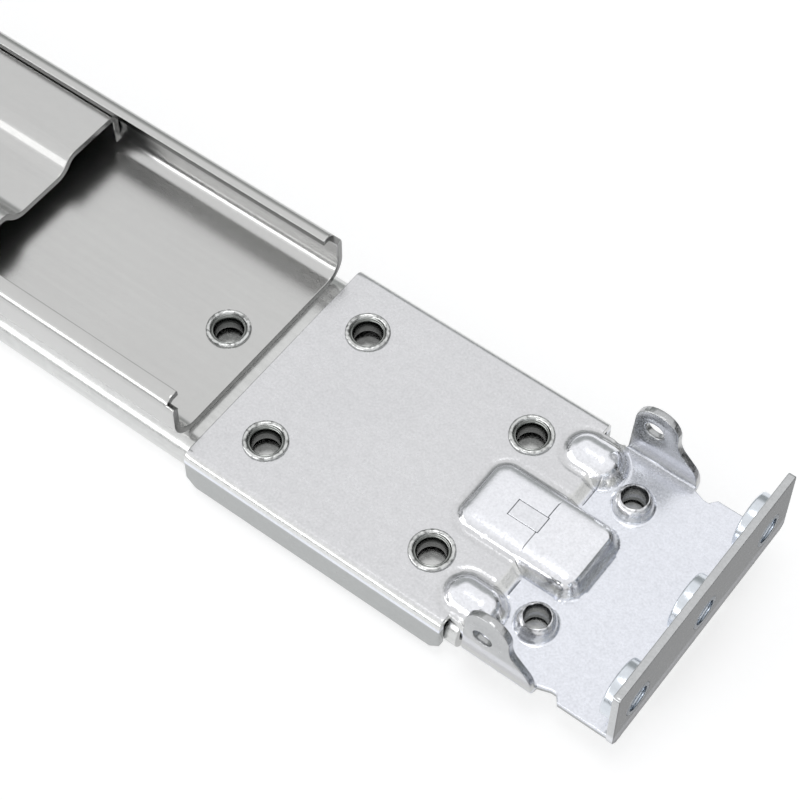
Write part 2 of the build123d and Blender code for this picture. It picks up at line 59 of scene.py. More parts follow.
camera_place = (399.86 * mm, -79.4 * mm, 283.39 * mm)
camera_tilt = math.radians(33.576)
camera_turn = math.radians(37.247)
camera_roll = math.radians(-0.013)

camera_data = bpy.data.cameras.new("camera")
camera_data.lens = 102.504
camera_data.sensor_width = 36.0
camera_data.clip_start = 0.01
camera = bpy.data.objects.new("camera", camera_data)
camera.location = camera_place
camera.rotation_euler = (camera_tilt, camera_roll, camera_turn)
bpy.context.scene.collection.objects.link(camera)
bpy.context.scene.camera = camera
bpy.context.scene.view_settings.view_transform = "Standard"

# Studio
# A white tent over a white floor, with a round soft light overhead and a low strip light at the
# near side. A curved screen round the far and the rack side and a grey mat before the rack end,
# which only reflections see, draw the dark bands at the bends of the metal.
tent_light = 0.55
world = bpy.data.worlds.new("tent")
bpy.context.scene.world = world
world.use_nodes = True
nodes, links = world.node_tree.nodes, world.node_tree.links
nodes.clear()


def seen_directly():
    """1 where the camera, a reflection or a clear part looks straight at the surface."""
    ray = nodes.new("ShaderNodeLightPath")
    seen_ray = ray.outputs["Is Camera Ray"]
    for kind in ("Is Glossy Ray", "Is Transmission Ray"):
        either = nodes.new("ShaderNodeMath")
        either.operation = "MAXIMUM"
        links.new(seen_ray, either.inputs[0])
        links.new(ray.outputs[kind], either.inputs[1])
        seen_ray = either.outputs["Value"]
    return seen_ray


tent = nodes.new("ShaderNodeBackground")
tent.inputs["Color"].default_value = (1, 1, 1, 1)
tent.inputs["Strength"].default_value = tent_light
white = nodes.new("ShaderNodeBackground")
white.inputs["Color"].default_value = (1, 1, 1, 1)
white.inputs["Strength"].default_value = 1.0
seen = nodes.new("ShaderNodeMixShader")
links.new(seen_directly(), seen.inputs["Fac"])
links.new(tent.outputs["Background"], seen.inputs[1])
links.new(white.outputs["Background"], seen.inputs[2])
output = nodes.new("ShaderNodeOutputWorld")
links.new(seen.outputs["Shader"], output.inputs["Surface"])


def soft_light(name, shape, size, size_y, power, place, target):
    """A soft light at a place, turned to its target."""
    data = bpy.data.lights.new(name, "AREA")
    data.shape = shape
    data.size = size
    if size_y:
        data.size_y = size_y
    data.energy = power
    light = bpy.data.objects.new(name, data)
    light.location = place
    light.rotation_euler = (Vector(place) - Vector(target)).to_track_quat("Z", "Y").to_euler()
    bpy.context.scene.collection.objects.link(light)


bracket_place = (0.31, 0.06, 0.01)
soft_light("overhead", "DISK", 0.40, None, 1.3, (0.30, -0.05, 1.1), bracket_place)
soft_light("near_strip", "RECTANGLE", 2.2, 0.22, 5.0, (-0.30, -0.90, 0.30), (0.05, 0.06, 0.01))

screen_radius = 1.8
screen_height = 2.0
screen_grey = 0.42
screen_black = 0.05
black_side = (0.93, 0.36, 0.0)
near_side = (-0.15, -0.99, 0.0)
screen_mesh = bpy.data.meshes.new("reflected_screen")
bm = bmesh.new()
bmesh.ops.create_cone(bm, cap_ends=False, segments=96, radius1=screen_radius,
                      radius2=screen_radius, depth=screen_height,
                      matrix=Matrix.Translation((0, 0, screen_height / 2)))
bm.to_mesh(screen_mesh)
bm.free()
screen = bpy.data.objects.new("reflected_screen", screen_mesh)
screen.location = (bracket_place[0], bracket_place[1], 0.002)
bpy.context.scene.collection.objects.link(screen)
screen_cloth = bpy.data.materials.new("screen_cloth")
screen_cloth.use_nodes = True
nodes, links = screen_cloth.node_tree.nodes, screen_cloth.node_tree.links
nodes.clear()
where = nodes.new("ShaderNodeTexCoord")


def towards(side, least, most):
    """How far a place on the screen lies towards a side, from 0 at least to 1 at most."""
    dot = nodes.new("ShaderNodeVectorMath")
    dot.operation = "DOT_PRODUCT"
    dot.inputs[1].default_value = [part / screen_radius for part in side]
    links.new(where.outputs["Object"], dot.inputs[0])
    step = nodes.new("ShaderNodeMapRange")
    step.interpolation_type = "SMOOTHSTEP"
    step.inputs["From Min"].default_value = least
    step.inputs["From Max"].default_value = most
    links.new(dot.outputs["Value"], step.inputs["Value"])
    return step.outputs["Result"]


def mixed(share, first, second):
    """A value between two others, each of them a number or a socket."""
    mix = nodes.new("ShaderNodeMix")
    links.new(share, mix.inputs["Factor"])
    for value, socket in ((first, mix.inputs["A"]), (second, mix.inputs["B"])):
        if isinstance(value, float):
            socket.default_value = value
        else:
            links.new(value, socket)
    return mix.outputs["Result"]


blackness = towards(black_side, 0.45, 0.85)
openness = towards(near_side, -0.25, 0.35)
grey_top = towards((0, 0, 1), 0.90, 0.45)
black_top = towards((0, 0, 1), 0.56, 0.32)
level = mixed(blackness, screen_grey, screen_black)
cover = mixed(openness, mixed(blackness, grey_top, black_top), 0.0)
cloth = nodes.new("ShaderNodeEmission")
cloth.inputs["Color"].default_value = (0.97, 1.0, 0.98, 1)
links.new(level, cloth.inputs["Strength"])
gap = nodes.new("ShaderNodeBsdfTransparent")
covered = nodes.new("ShaderNodeMixShader")
links.new(cover, covered.inputs["Fac"])
links.new(gap.outputs["BSDF"], covered.inputs[1])
links.new(cloth.outputs["Emission"], covered.inputs[2])
output = nodes.new("ShaderNodeOutputMaterial")
links.new(covered.outputs["Shader"], output.inputs["Surface"])
screen_mesh.materials.append(screen_cloth)

# The grey mat is a painted shadow: it stands in for the object's shadow on the floor before the rack
# end, as the metal reflects it.
mat_half = (0.16, 0.34)
mat_place = (0.5055, 0.10, 0.0008)
mat_glow = 0.38
mat_mesh = bpy.data.meshes.new("reflected_mat")
bm = bmesh.new()
bmesh.ops.create_grid(bm, x_segments=1, y_segments=1, size=1.0)
bmesh.ops.scale(bm, vec=(*mat_half, 1), verts=bm.verts[:])
bmesh.ops.translate(bm, vec=mat_place, verts=bm.verts[:])
bm.to_mesh(mat_mesh)
bm.free()
mat = bpy.data.objects.new("reflected_mat", mat_mesh)
for seen_by in ("camera", "diffuse", "shadow"):
    setattr(mat, f"visible_{seen_by}", False)
    setattr(screen, f"visible_{seen_by}", False)
bpy.context.scene.collection.objects.link(mat)
mat_cloth = bpy.data.materials.new("mat_cloth")
mat_cloth.use_nodes = True
cloth = mat_cloth.node_tree.nodes["Principled BSDF"]
cloth.inputs["Base Color"].default_value = (0, 0, 0, 1)
cloth.inputs["Specular IOR Level"].default_value = 0.0
cloth.inputs["Emission Color"].default_value = (1, 1, 1, 1)
cloth.inputs["Emission Strength"].default_value = mat_glow
mat_mesh.materials.append(mat_cloth)

floor_glow = 0.62
floor_mesh = bpy.data.meshes.new("floor")
bm = bmesh.new()
bmesh.ops.create_grid(bm, x_segments=1, y_segments=1, size=4.0)
bm.to_mesh(floor_mesh)
bm.free()
floor = bpy.data.objects.new("floor", floor_mesh)
bpy.context.scene.collection.objects.link(floor)
floor_paint = bpy.data.materials.new("white_sweep")
floor_paint.use_nodes = True
nodes, links = floor_paint.node_tree.nodes, floor_paint.node_tree.links
nodes.clear()
matt = nodes.new("ShaderNodeBsdfDiffuse")
matt.inputs["Color"].default_value = (0.62, 0.625, 0.63, 1)
glow = nodes.new("ShaderNodeEmission")
glow.inputs["Color"].default_value = (1, 1, 1, 1)
lift = nodes.new("ShaderNodeMath")
lift.operation = "MULTIPLY"
lift.inputs[1].default_value = floor_glow
links.new(seen_directly(), lift.inputs[0])
links.new(lift.outputs["Value"], glow.inputs["Strength"])
both = nodes.new("ShaderNodeAddShader")
links.new(matt.outputs["BSDF"], both.inputs[0])
links.new(glow.outputs["Emission"], both.inputs[1])
output = nodes.new("ShaderNodeOutputMaterial")
links.new(both.outputs["Shader"], output.inputs["Surface"])
floor_mesh.materials.append(floor_paint)

# Sheet steel and its zinc coats
# Every steel piece has one of a few bright zinc coats. Under all of them the sheet has a fine
# grain, long rolling streaks and small speckles, and they differ in how strong each one is.


def zinc_coat_group():
    """Shade, roughness and height of a zinc coat: grain, speckles and rolling streaks."""
    group = bpy.data.node_groups.new("zinc_coat", "ShaderNodeTree")
    for socket, value in (("Grain Scale", 900.0), ("Grain", 0.5), ("Speckle Scale", 2600.0),
                          ("Speckle", 0.3), ("Streak", 0.2), ("Roughness", 0.3),
                          ("Roughness Spread", 0.1)):
        item = group.interface.new_socket(name=socket, in_out="INPUT", socket_type="NodeSocketFloat")
        item.default_value = value
    for socket in ("Shade", "Roughness", "Height"):
        group.interface.new_socket(name=socket, in_out="OUTPUT", socket_type="NodeSocketFloat")
    nodes, links = group.nodes, group.links
    given = nodes.new("NodeGroupInput")
    result = nodes.new("NodeGroupOutput")
    place = nodes.new("ShaderNodeTexCoord")

    def noise_texture(scale, detail, vector):
        tex = nodes.new("ShaderNodeTexNoise")
        tex.inputs["Detail"].default_value = detail
        if isinstance(scale, float):
            tex.inputs["Scale"].default_value = scale
        else:
            links.new(scale, tex.inputs["Scale"])
        links.new(vector, tex.inputs["Vector"])
        return tex.outputs["Fac"]

    def maths(operation, a, b):
        node = nodes.new("ShaderNodeMath")
        node.operation = operation
        for value, socket in ((a, node.inputs[0]), (b, node.inputs[1])):
            if isinstance(value, float):
                socket.default_value = value
            else:
                links.new(value, socket)
        return node.outputs["Value"]

    grain = noise_texture(given.outputs["Grain Scale"], 4.0, place.outputs["Object"])
    speckle = noise_texture(given.outputs["Speckle Scale"], 1.0, place.outputs["Object"])
    stretch = nodes.new("ShaderNodeMapping")
    stretch.inputs["Scale"].default_value = (0.03, 1.0, 1.0)
    links.new(place.outputs["Object"], stretch.inputs["Vector"])
    streak = noise_texture(1400.0, 2.0, stretch.outputs["Vector"])
    cloud = noise_texture(60.0, 2.0, place.outputs["Object"])

    def centred(value, gain):
        return maths("MULTIPLY", maths("SUBTRACT", value, 0.5), gain)

    total = centred(grain, given.outputs["Grain"])
    total = maths("ADD", total, centred(speckle, given.outputs["Speckle"]))
    total = maths("ADD", total, centred(streak, given.outputs["Streak"]))
    total = maths("ADD", total, centred(cloud, 0.12))
    shade = maths("ADD", maths("MULTIPLY", total, 0.5), 1.0)
    links.new(shade, result.inputs["Shade"])
    spread = maths("MULTIPLY", total, given.outputs["Roughness Spread"])
    links.new(maths("ADD", given.outputs["Roughness"], spread), result.inputs["Roughness"])
    links.new(total, result.inputs["Height"])
    return group


zinc_coat = zinc_coat_group()
dark_tone = (0.05, 0.052, 0.05)
burnish_gloss = 0.55


def steel(name, colour, rough, spread=0.3, grain=0.4, speckle=0.3, streak=0.1, bump=0.05,
          grain_scale=900.0, speckle_scale=2600.0, metallic=1.0, tone_and_painted_light_by_height=()):
    """A steel sheet or turned part with a zinc coat of its own strength of grain.

    Its colour may differ by height, partly the coat's own tone and partly painted shade and
    painted highlights. Cut edges and scored lines are dark, bores and ears get painted shade,
    and pressed walls are burnished, where the piece itself says so.
    """
    material = bpy.data.materials.new(name)
    material.use_nodes = True
    nodes, links = material.node_tree.nodes, material.node_tree.links
    shader = nodes["Principled BSDF"]
    coat = nodes.new("ShaderNodeGroup")
    coat.node_tree = zinc_coat
    for socket, value in (("Grain Scale", grain_scale), ("Grain", grain),
                          ("Speckle Scale", speckle_scale), ("Speckle", speckle),
                          ("Streak", streak), ("Roughness", rough), ("Roughness Spread", spread)):
        coat.inputs[socket].default_value = value
    # A Mix node has its colours at sockets 6 and 7, and mixes them to its output 2.
    tint = nodes.new("ShaderNodeMix")
    tint.data_type = "RGBA"
    tint.blend_type = "MULTIPLY"
    tint.inputs["Factor"].default_value = 1.0
    tint.inputs[6].default_value = (*colour, 1)
    if tone_and_painted_light_by_height:
        lowest, highest = tone_and_painted_light_by_height[0][0], tone_and_painted_light_by_height[-1][0]
        place = nodes.new("ShaderNodeTexCoord")
        parts = nodes.new("ShaderNodeSeparateXYZ")
        links.new(place.outputs["Object"], parts.inputs["Vector"])
        level = nodes.new("ShaderNodeMapRange")
        level.inputs["From Min"].default_value = lowest * mm
        level.inputs["From Max"].default_value = highest * mm
        links.new(parts.outputs["Z"], level.inputs["Value"])
        ramp = nodes.new("ShaderNodeValToRGB")
        links.new(level.outputs["Result"], ramp.inputs["Fac"])
        stops = ramp.color_ramp.elements
        while len(stops) < len(tone_and_painted_light_by_height):
            stops.new(0.5)
        for stop, (height, shade) in zip(stops, tone_and_painted_light_by_height):
            stop.position = (height - lowest) / (highest - lowest)
            stop.color = (*shade, 1)
        links.new(ramp.outputs["Color"], tint.inputs[6])
    links.new(coat.outputs["Shade"], tint.inputs[7])
    # The dark attribute darkens cut edges and scored lines, and also paints shade into bores and
    # onto the ears.
    dark_marks_and_shade = nodes.new("ShaderNodeAttribute")
    dark_marks_and_shade.attribute_name = "dark"
    darkened = nodes.new("ShaderNodeMix")
    darkened.data_type = "RGBA"
    darkened.inputs[7].default_value = (*dark_tone, 1)
    links.new(dark_marks_and_shade.outputs["Fac"], darkened.inputs["Factor"])
    links.new(tint.outputs[2], darkened.inputs[6])
    links.new(darkened.outputs[2], shader.inputs["Base Color"])
    pressed = nodes.new("ShaderNodeAttribute")
    pressed.attribute_name = "burnished"
    matt_left = nodes.new("ShaderNodeMath")
    matt_left.operation = "MULTIPLY_ADD"
    matt_left.inputs[1].default_value = -burnish_gloss
    matt_left.inputs[2].default_value = 1.0
    links.new(pressed.outputs["Fac"], matt_left.inputs[0])
    roughness = nodes.new("ShaderNodeMath")
    roughness.operation = "MULTIPLY"
    links.new(coat.outputs["Roughness"], roughness.inputs[0])
    links.new(matt_left.outputs["Value"], roughness.inputs[1])
    links.new(roughness.outputs["Value"], shader.inputs["Roughness"])
    shader.inputs["Metallic"].default_value = metallic
    height = nodes.new("ShaderNodeBump")
    height.inputs["Strength"].default_value = bump
    height.inputs["Distance"].default_value = 0.0002
    links.new(coat.outputs["Height"], height.inputs["Height"])
    links.new(height.outputs["Normal"], shader.inputs["Normal"])
    return material


# Heights are in millimetres above the floor.
finishes = {
    # From 8.46 to 9.5 mm, the walls of the flared collars' bores, the slide steel is painted dark:
    # painted shade inside the holes.
    "slide_steel": steel("slide_steel", (0.64, 0.645, 0.64), 0.24, streak=0.4, speckle=0.1,
                         tone_and_painted_light_by_height=[(8.41, (0.64, 0.645, 0.64)), (8.46, (0.10, 0.11, 0.10)),
                                    (9.5, (0.17, 0.18, 0.17)), (9.9, (0.66, 0.67, 0.665))]),
    "galvanised_steel": steel("galvanised_steel", (0.57, 0.57, 0.565), 0.24, streak=0.12,
                              speckle=0.06, grain=0.1),
    # Below 7.3 mm, on the skirts, and above 12.3 mm, on the flange and the ears, the bracket is
    # painted darker: painted shade. From 8.45 to 9.3 mm, on the joggle slope and the collar walls,
    # it is a little lighter: a painted highlight. The bluish front plate and the lighter crowns of
    # the emboss and the domes are the coat's own tone.
    "bracket_steel": steel("bracket_steel", (0.68, 0.685, 0.71), 0.24, speckle=0.45, grain=0.28,
                           bump=0.10,
                           tone_and_painted_light_by_height=[(7.3, (0.40, 0.41, 0.41)), (7.7, (0.79, 0.81, 0.87)),
                                      (8.15, (0.78, 0.80, 0.86)), (8.45, (0.72, 0.725, 0.72)),
                                      (9.3, (0.70, 0.705, 0.70)), (9.5, (0.68, 0.683, 0.70)),
                                      (10.1, (0.68, 0.685, 0.705)),
                                      (10.75, (0.83, 0.84, 0.88)), (11.5, (0.84, 0.85, 0.89)),
                                      (12.3, (0.62, 0.63, 0.64))]),
    "rivet_steel": steel("rivet_steel", (0.76, 0.765, 0.76), 0.22, speckle=0.3),
    "nut_steel": steel("nut_steel", (0.68, 0.72, 0.77), 0.20, speckle=0.2),
    "screw_steel": steel("screw_steel", (0.66, 0.67, 0.69), 0.24, speckle=0.2),
    "ball_steel": steel("ball_steel", (0.82, 0.82, 0.83), 0.06, grain=0.05, speckle=0.05,
                        bump=0.01),
    "cage_steel": steel("cage_steel", (0.70, 0.70, 0.69), 0.25, streak=0.3),
    "black_plastic": steel("black_plastic", (0.03, 0.03, 0.03), 0.5, grain=0.6, metallic=0.0,
                           bump=0.2),
    "lever_steel": steel("lever_steel", (0.04, 0.04, 0.045), 0.4, grain=0.6, metallic=0.2,
                         bump=0.2),
}
for part in frame["record"]["subparts"]:
    node = frame["nodes"][part["node"]]
    for held in node.material_slots:
        held.material = finishes[part["material_slot"]]

# Front bracket
# It is stamped from one sheet, cut flat with its holes, then pressed over the joggle, the
# stiffening emboss and two domes, and folded into rack flange, side skirts and ears. Two
# collars for screws are drawn up from the front plate.
rail_centre = {}
for rail in ("left", "right"):
    low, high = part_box(f"{rail}_front_bracket")
    rail_centre[rail] = (low.y + high.y) / 2
bracket_low, bracket_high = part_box("left_front_bracket")
rack_face = bracket_high.x
sheet = 1.2 * mm
plate_top = 9.6 * mm
front_plate_top = 8.0 * mm
joggle_setback = 25.5 * mm
joggle_half_run = 1.05 * mm
rack_pitch = 15.875 * mm
rack_row_z = 14.93 * mm
rack_hole_r = 2.65 * mm
flange_half = 21.2 * mm
front_plate_half = 19.75 * mm
edge_ease = 0.16 * mm
edge_ease_share = 0.29
slack = 1e-6


def behind(distance):
    """X of a place that lies this far behind the front rack face."""
    return rack_face - distance * mm


def bent(distance, start, heading, runs):
    """Point and heading this far along a folded line of straight runs, each ending in a bend.

    A run is its length, then the radius and the turn of the bend at its end.
    """
    across, up = start
    for length, radius, turn in runs:
        run = min(distance, length)
        across += math.cos(heading) * run
        up += math.sin(heading) * run
        distance -= length
        if distance <= 0:
            break
        reach = math.copysign(radius, turn)
        turned = min(distance / radius, abs(turn)) * math.copysign(1, turn)
        across += (math.sin(heading + turned) - math.sin(heading)) * reach
        up += (math.cos(heading) - math.cos(heading + turned)) * reach
        heading += turned
        distance -= radius * abs(turned)
        if distance <= 0:
            break
    return across, up, heading


def along_fold(along, across, height, runs):
    """A place on a strip folded along its length, and the way that its face looks there."""
    side = math.copysign(1, across)
    y, z, heading = bent(abs(across), (0, height), 0, runs)
    return Vector((along, side * y, z)), Vector((0, -side * math.sin(heading), math.cos(heading)))


def bend_lines(runs, steps):
    """Where a folded line has to be cut so that its bends come out round."""
    lines = []
    distance = 0
    for length, radius, turn in runs:
        distance += length
        lines += [distance + radius * abs(turn) * step / steps for step in range(steps + 1)]
        distance += radius * abs(turn)
    return lines


def folded_sheet(outline, rounds, holes, across_lines, along_lines, fold, edge_dark):
    """A sheet cut flat along its outline and holes, its edges eased, and then folded.

    Rounds are the corners of the outline that are rounded, with their radii. A hole is its
    centre, its radius and how much longer than round it is. Across lines lie at a place along
    the sheet, along lines at a distance to either side. The fold takes a flat place to where
    the face that is seen lies and the way it looks, and the thickness goes behind that face.
    Edge dark is how dark the cut edges are, from 0 to 1.
    """
    bm = bmesh.new()
    dark = bm.verts.layers.float.new("dark")
    corners = [bm.verts.new((*place, 0)) for place in outline]
    for first, second in zip(corners, corners[1:] + corners[:1]):
        bm.edges.new((first, second))
    for index, radius in rounds:
        bmesh.ops.bevel(bm, geom=[corners[index]], offset=radius, offset_type="OFFSET", segments=6,
                        profile=0.5, affect="VERTICES", material=-1)
    for centre, radius, longer in holes:
        ring = bmesh.ops.create_circle(bm, segments=48, radius=radius, cap_ends=False)["verts"]
        for vert in ring:
            vert.co.x += math.copysign(longer / 2, vert.co.x)
            vert.co += Vector((*centre, 0))
    bmesh.ops.triangle_fill(bm, use_beauty=True, use_dissolve=False, edges=bm.edges[:],
                            normal=(0, 0, 1))
    inside = bm.faces[:]
    for width in (edge_ease_share, 1 - edge_ease_share):
        ring = bmesh.ops.inset_region(bm, faces=inside, use_boundary=True, use_even_offset=True,
                                      thickness=edge_ease * width, depth=0)["faces"]
        ring = set(ring)
        inside = [face for face in inside if face.is_valid and face not in ring]
    flat = {vert for face in inside for vert in face.verts}
    for vert in bm.verts:
        if vert not in flat:
            vert.co.z = -edge_ease if vert.is_boundary else -edge_ease * edge_ease_share
            vert[dark] = edge_dark if vert.is_boundary else 0
    cuts = [((place, 0, 0), (1, 0, 0)) for place in across_lines]
    cuts += [((0, side * place, 0), (0, 1, 0)) for place in along_lines for side in (-1, 1)]
    for place, normal in cuts:
        bmesh.ops.bisect_plane(bm, geom=bm.verts[:] + bm.edges[:] + bm.faces[:], dist=1e-7,
                               plane_co=place, plane_no=normal)
    rim = [edge for edge in bm.edges if edge.is_boundary]
    under = bmesh.ops.duplicate(bm, geom=bm.verts[:] + bm.edges[:] + bm.faces[:])["geom"]
    for vert in under:
        if isinstance(vert, bmesh.types.BMVert):
            vert.co.z = -sheet - vert.co.z
    bmesh.ops.reverse_faces(bm, faces=[face for face in under
                                       if isinstance(face, bmesh.types.BMFace)])
    for vert in bmesh.ops.extrude_edge_only(bm, edges=rim)["geom"]:
        if isinstance(vert, bmesh.types.BMVert):
            vert.co.z = edge_ease - sheet
    bmesh.ops.remove_doubles(bm, verts=bm.verts[:], dist=1e-7)
    for vert in bm.verts:
        place, looks = fold(vert.co.x, vert.co.y)
        vert.co = place + looks * vert.co.z
    bmesh.ops.recalc_face_normals(bm, faces=bm.faces[:])
    return bm


def turned_part(bm, profile, centre, axis, steps=48):
    """Adds a part turned round an axis; the profile gives radius and height along it."""
    turn = axis.to_track_quat("Z", "Y").to_matrix().to_4x4()
    verts = [bm.verts.new((radius, 0, height)) for radius, height in profile]
    edges = [bm.edges.new(pair) for pair in zip(verts, verts[1:])]
    bmesh.ops.spin(bm, geom=verts + edges, cent=(0, 0, 0), axis=(0, 0, 1), dvec=(0, 0, 0),
                   angle=math.tau, steps=steps, use_merge=True, use_duplicate=False)
    made = {vert for edge in edges for vert in edge.verts}
    grown = set(made)
    while grown:
        near = {edge.other_vert(vert) for vert in grown for edge in vert.link_edges}
        grown = near - made
        made |= grown
    made = list(made)
    bmesh.ops.recalc_face_normals(bm, faces=list({f for v in made for f in v.link_faces}))
    bmesh.ops.transform(bm, matrix=Matrix.Translation(centre) @ turn, verts=made)
    return made


def roughen(bm, verts, rim_height, depth, bore_height, bore_painted_shade):
    """Makes the torn rim of a drawn collar uneven and patchy, and paints shade into its bore."""
    dark = bm.verts.layers.float["dark"]
    patch_size = 0.5 * mm
    tear_size = 0.45 * mm
    # Without a seed the noise vectors would differ from run to run.
    noise.seed_set(1)
    for vert in verts:
        if vert.co.z > rim_height:
            vert[dark] = min(max(noise.noise(vert.co / patch_size) * 1.8 - 0.1, 0), 0.7)
            vert.co += noise.noise_vector(vert.co / tear_size) * depth
        elif vert.co.z < bore_height:
            vert[dark] = bore_painted_shade


def place_pair(bm, piece, body, finish, nodes):
    """Puts a finished piece on both rails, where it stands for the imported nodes."""
    sharp_angle = math.radians(50.0)
    for face in bm.faces:
        face.smooth = True
    for edge in bm.edges:
        edge.smooth = edge.is_manifold and edge.calc_face_angle(0) < sharp_angle
    for rail, centre in rail_centre.items():
        mesh = bpy.data.meshes.new(f"{rail}_{piece}")
        bm.to_mesh(mesh)
        mesh.transform(Matrix.Translation((0, centre, 0)))
        mesh.materials.append(finishes[finish])
        made = bpy.data.objects.new(f"{rail}_{piece}", mesh)
        bpy.context.scene.collection.objects.link(made)
        made.modifiers.new("even_shading", "WEIGHTED_NORMAL").keep_sharp = True
        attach(made, "fixed_rails" if body == "fixed_rails" else f"{rail}_{body}")
        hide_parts(*[f"{rail}_{node}" for node in nodes])
    bm.free()


def soft_least(a, b, blend):
    """The lesser of two values, with a rounded change from one to the other."""
    near = max(blend - abs(a - b), 0) / blend
    return min(a, b) - near * near * blend / 4


def soft_step(value):
    """Runs smoothly from 0 to 1 as the value does."""
    value = min(max(value, 0), 1)
    return value * value * (3 - 2 * value)


emboss = {"centre": (behind(27.25), 0), "half": (10.2 * mm, 6.2 * mm), "corner": 2.6 * mm,
          "top": 1.4 * mm, "shoulder": 0.45, "crown": 2.8 * mm, "round": 0.9 * mm}
domes = [{"centre": (behind(27.4), side * 14.5 * mm), "half": (4.4 * mm, 3.1 * mm),
          "corner": 3.0 * mm, "top": 1.9 * mm, "shoulder": 0.10, "crown": 3.1 * mm,
          "round": 0.8 * mm}
         for side in (-1, 1)]
form_lean = math.tan(math.radians(25.0))
foot_round = 0.4 * mm
press_mark_reach = 1.4 * mm
press_mark_depth = 0.13 * mm
joggle_round = 0.35 * mm
joggle_foot = -joggle_setback + joggle_half_run
mark_half = 0.08 * mm
witness_rear = behind(31.2)
witness_front = behind(26.1)
witness_half = 1.45 * mm
crease_x = behind(26.35)
marks = [
    ((witness_rear, -witness_half), (witness_rear, witness_half), 0.12 * mm),
    ((witness_front, -witness_half), (witness_front, witness_half), 0.12 * mm),
    ((witness_rear, -witness_half), (witness_front, -witness_half), 0.12 * mm),
    ((witness_rear, witness_half), (witness_front, witness_half), 0.12 * mm),
    ((crease_x, -4.7 * mm), (crease_x, -witness_half), 0.08 * mm),
    ((crease_x, witness_half), (crease_x, 4.5 * mm), 0.14 * mm),
    ((rack_face + joggle_foot, 7.6 * mm), (rack_face + joggle_foot, 11.9 * mm), 0.10 * mm),
    ((rack_face + joggle_foot, -10.4 * mm), (rack_face + joggle_foot, -7.6 * mm), 0.10 * mm),
]


def inside_form(form, x, y):
    """How far inside the foot of a form a place lies, below 0 where it lies outside."""
    away = [abs(x - form["centre"][0]) - form["half"][0] + form["corner"],
            abs(y - form["centre"][1]) - form["half"][1] + form["corner"]]
    outside = math.hypot(max(away[0], 0), max(away[1], 0)) + min(max(away), 0)
    return form["corner"] - outside


def press_mark(inwards):
    """How much of the die's mark round a form there is at this distance from its foot."""
    return soft_step(1 - abs(inwards + press_mark_reach / 2) / (press_mark_reach / 2))


def scored(start, end, x, y):
    """How much of a scored line there is at a place."""
    away = math.hypot(x - min(max(x, start[0]), end[0]), y - min(max(y, start[1]), end[1]))
    return soft_step(1 - away / mark_half)


def pressed_height(x, y):
    """Height of the plate's top face over the joggle, the emboss, the domes and die marks."""
    drop = plate_top - front_plate_top
    slope = (x - behind(0) + joggle_setback + joggle_half_run) * drop / (2 * joggle_half_run)
    height = soft_least(-slope, 0, joggle_round)
    height = -soft_least(-height, drop, joggle_round)
    for form in (emboss, *domes):
        inwards = inside_form(form, x, y)
        flatness = 1 - min(max(inwards / form["crown"], 0), 1)
        crown = form["top"] * (1 - (1 - form["shoulder"]) * flatness * flatness)
        risen = soft_least(inwards / form_lean, crown, form["round"])
        height -= press_mark_depth * press_mark(inwards)
        height = -soft_least(-height, -risen, foot_round)
    for start, end, depth in marks:
        height -= depth * scored(start, end, x, y)
    return plate_top + height


skirt_flat = 19.4 * mm
skirt_runs = [(skirt_flat, 1.4 * mm, -math.pi / 2), (6.1 * mm, 1, 0)]
skirt_front = behind(28.6)
ear_flat = 19.3 * mm
ear_bend = 0.3 * mm
ear_runs = [(ear_flat, ear_bend, math.pi / 2), (12 * mm, 1, 0)]
ear_upright = ear_flat + ear_bend * math.pi / 2 - front_plate_top - ear_bend
flange_flat = behind(2.7)
flange_bend = 1.5 * mm
flange_runs = [(0, flange_bend, math.pi / 2), (14 * mm, 1, 0)]
flange_upright = flange_flat + flange_bend * math.pi / 2 - front_plate_top - flange_bend
ear_rear = behind(25.75)
ear_foot = behind(13.25)
ear_hole = (behind(21.4), 14.8 * mm)
ear_hole_r = 1.45 * mm
dimple_reach = 2.2 * mm
dimple_depth = 0.32 * mm


def fold_bracket(along, across):
    """Takes a place on the flat blank to its place on the pressed and folded bracket."""
    if along > flange_flat:
        x, z, heading = bent(along - flange_flat, (flange_flat, front_plate_top), 0, flange_runs)
        return Vector((x, across, z)), Vector((-math.sin(heading), 0, math.cos(heading)))
    if along < skirt_front + slack and abs(across) > skirt_flat:
        return along_fold(along, across, plate_top, skirt_runs)
    if ear_rear - slack < along < ear_foot + slack and abs(across) > ear_flat:
        place, looks = along_fold(along, across, front_plate_top, ear_runs)
        away = math.hypot(along - ear_hole[0], place.z - ear_hole[1]) - ear_hole_r
        return place - looks * dimple_depth * soft_step(1 - away / dimple_reach), looks
    slope_step = 0.03 * mm
    height = pressed_height(along, across)
    looks = Vector((height - pressed_height(along + slope_step, across),
                    height - pressed_height(along, across + slope_step), slope_step))
    return Vector((along, across, height)), looks.normalized()


